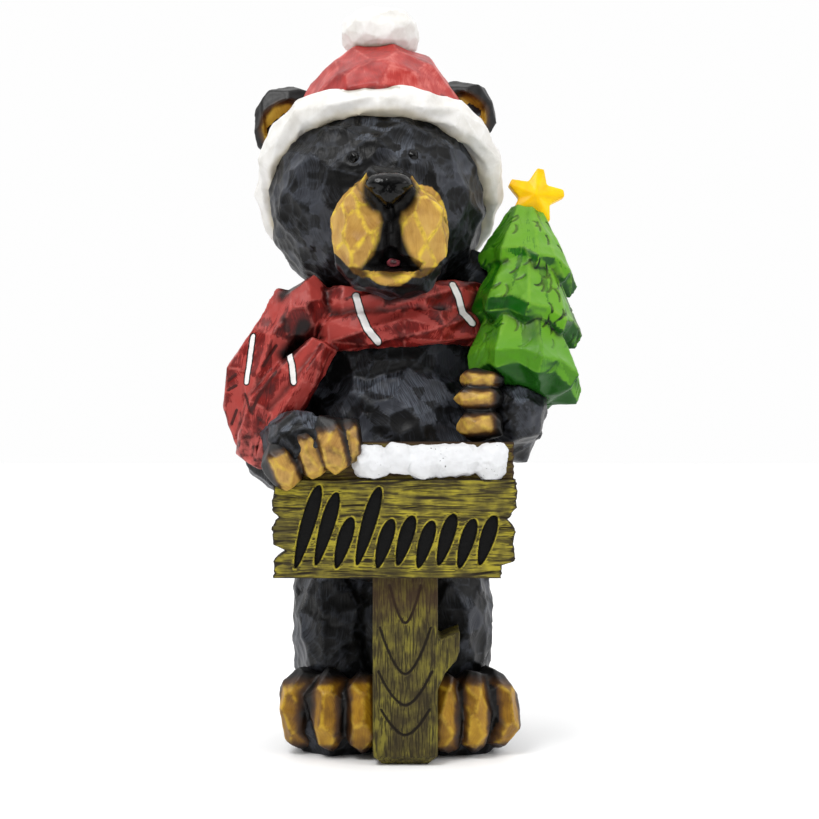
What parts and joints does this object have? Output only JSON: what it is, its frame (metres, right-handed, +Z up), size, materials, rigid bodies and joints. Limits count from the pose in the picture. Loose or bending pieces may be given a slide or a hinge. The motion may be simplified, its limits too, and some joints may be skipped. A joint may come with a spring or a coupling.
{
  "type": "bear statue",
  "caption": "Standing bear figure in a faceted, carved style, with a winter hat and scarf, holding a small tree and resting a paw on a plank sign.",
  "frame": {"origin": "on the flat sole, on the ground, under the middle of the legs", "axes": "+Z up, the bear faces -Y, and +X is towards its left paw, which holds the tree"},
  "size_m": [0.2684, 0.225, 0.5618],
  "materials": {
    "painted_resin": "hand-painted satin casting: black body, ochre muzzle and toes, red hat and scarf, green tree, olive sign"
  },
  "bodies": {
    "root": {"bear": "painted_resin"}
  },
  "joints": []
}
